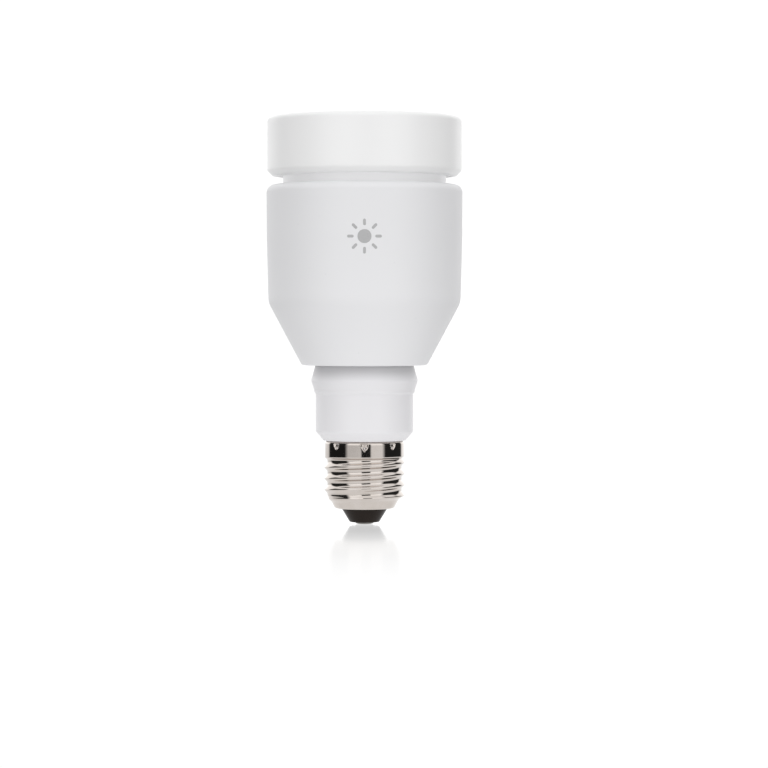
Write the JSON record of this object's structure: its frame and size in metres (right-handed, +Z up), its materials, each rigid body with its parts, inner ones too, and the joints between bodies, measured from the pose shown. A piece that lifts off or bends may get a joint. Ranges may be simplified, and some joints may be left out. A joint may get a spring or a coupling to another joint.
{
  "type": "smart light bulb",
  "caption": "Screw-in light bulb with a ribbed metal screw cap, a flared neck, a tapering drum body, a groove and a shallow frosted cap that spreads the light.",
  "frame": {"origin": "middle of the centre contact's flat tip, the lowest point of the screw cap", "axes": "+Z up the lamp's axis from the screw cap to the diffuser; -Y is the side that carries the mark; +X to the right of it"},
  "size_m": [0.064, 0.064, 0.1343],
  "materials": {
    "diffuser_opal": "satin",
    "ring_plastic": "satin",
    "body_plastic": "satin",
    "collar_plastic": "satin",
    "cap_nickel": "polished",
    "cap_glass": "gloss",
    "contact_tin": "satin",
    "spreader_aluminium": "satin",
    "pad_silicone": "matte",
    "seal_silicone": "matte",
    "led_board_mask": "satin",
    "led_phosphor": "satin",
    "led_clear": "gloss",
    "connector_nylon": "satin",
    "screw_zinc": "satin",
    "green_board": "satin",
    "shield_tinplate": "satin",
    "black_moulding": "matte",
    "sleeve_plastic": "matte",
    "capacitor_can": "satin",
    "film_box": "matte",
    "ferrite": "matte",
    "winding_tape": "satin",
    "winding_copper": "satin",
    "varistor_lacquer": "satin",
    "resistor_lacquer": "satin",
    "wire_red": "satin",
    "wire_black": "satin",
    "wire_white": "satin"
  },
  "bodies": {
    "root": {"centre_contact": "contact_tin", "cap_insulator": "cap_glass", "screw_shell": "cap_nickel", "neck_collar": "collar_plastic", "body_shell": "body_plastic", "heat_spreader": "spreader_aluminium", "thermal_pad": "pad_silicone", "led_board": "led_board_mask", "board_screw_1": "screw_zinc", "board_screw_2": "screw_zinc", "board_screw_3": "screw_zinc", "white_led_1": "led_phosphor", "white_led_2": "led_phosphor", "white_led_3": "led_phosphor", "white_led_4": "led_phosphor", "white_led_5": "led_phosphor", "white_led_6": "led_phosphor", "white_led_7": "led_phosphor", "white_led_8": "led_phosphor", "white_led_9": "led_phosphor", "white_led_10": "led_phosphor", "white_led_11": "led_phosphor", "white_led_12": "led_phosphor", "colour_led_1": "led_clear", "colour_led_2": "led_clear", "colour_led_3": "led_clear", "colour_led_4": "led_clear", "led_connector": "connector_nylon", "radio_board": "green_board", "radio_shield": "shield_tinplate", "radio_header": "black_moulding", "diffuser_ring": "ring_plastic", "diffuser_seal": "seal_silicone", "diffuser": "diffuser_opal", "driver_sleeve": "sleeve_plastic", "sleeve_lid": "sleeve_plastic", "driver_board": "green_board", "bulk_capacitor": "capacitor_can", "output_capacitor": "capacitor_can", "film_capacitor": "film_box", "transformer_core": "ferrite", "transformer_winding": "winding_tape", "output_inductor": "winding_copper", "varistor": "varistor_lacquer", "fusible_resistor": "resistor_lacquer", "bridge_rectifier": "black_moulding", "power_transistor": "black_moulding", "driver_chip": "black_moulding", "live_wire": "wire_red", "neutral_wire": "wire_black", "led_lead_positive": "wire_red", "led_lead_negative": "wire_white"}
  },
  "joints": []
}
